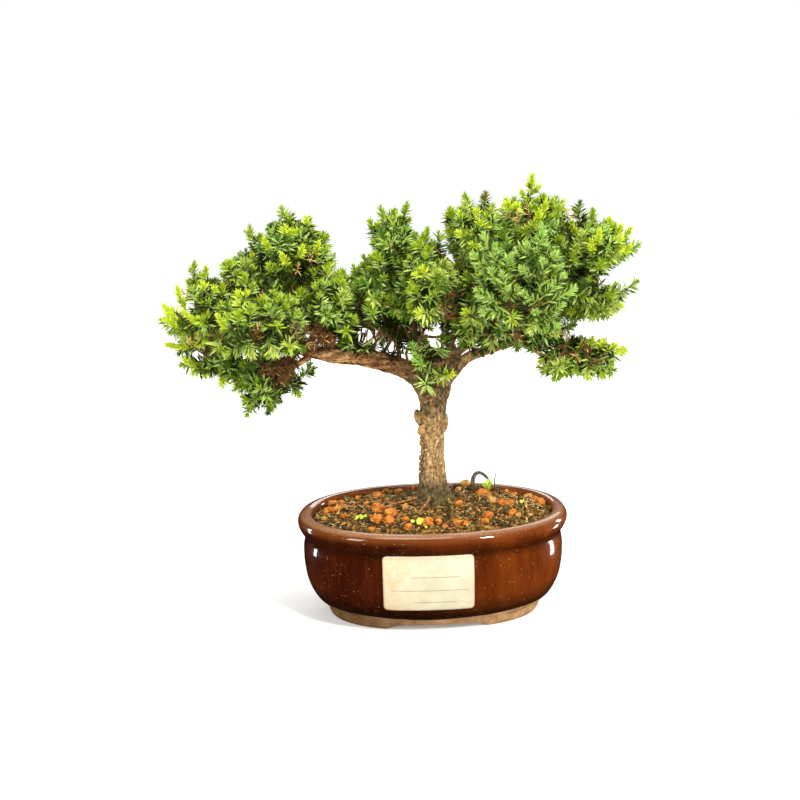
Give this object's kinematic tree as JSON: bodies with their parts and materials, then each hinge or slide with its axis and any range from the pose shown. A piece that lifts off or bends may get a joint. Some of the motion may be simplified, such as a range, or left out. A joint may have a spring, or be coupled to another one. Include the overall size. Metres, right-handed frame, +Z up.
{
  "type": "japanese garden juniper bonsai",
  "caption": "Japanese garden juniper bonsai with a short trunk and wide spreading pads of needle foliage, growing in an oval pot of brown glazed ceramic.",
  "frame": {"origin": "middle of the whole plant and pot's footprint box, at the level of the pot's foot", "axes": "+Z up, X along the pot and the crown's width, the sticker and the pictured side face -Y"},
  "size_m": [0.275, 0.1428, 0.255],
  "materials": {
    "brown_glaze": "glossy red-brown to amber glaze with fine pale speckles, bare tan clay foot",
    "cream_paper": "cream paper sticker, slightly stained, blank",
    "dark_soil": "dark gritty potting soil with fired clay pebbles",
    "bark": "tan to red-brown flaking bark",
    "needles": "short stiff awl-shaped green needles with bright yellow-green shoot tips"
  },
  "bodies": {
    "root": {"back_left_bough": "bark", "back_right_bough": "bark", "centre_back": "needles", "centre_left": "needles", "centre_low": "needles", "centre_mid": "needles", "centre_top": "needles", "fork_tuft": "needles", "fork_twig": "bark", "inner_right_bough": "bark", "inner_tuft": "needles", "label": "cream_paper", "left_back": "needles", "left_bough": "bark", "left_crown": "needles", "left_front": "needles", "left_inner": "needles", "left_inner_back": "needles", "left_low": "needles", "left_low_bough": "bark", "left_outer": "needles", "left_tip_low": "needles", "left_top": "needles", "middle_bough": "bark", "pot": "brown_glaze", "right_back": "needles", "right_back_left": "needles", "right_bough": "bark", "right_far": "needles", "right_far_top": "needles", "right_front": "needles", "right_inner": "needles", "right_low": "needles", "right_low_bough": "bark", "right_mid": "needles", "right_top": "needles", "right_top_left": "needles", "soil": "dark_soil", "trunk": "bark"}
  },
  "joints": []
}
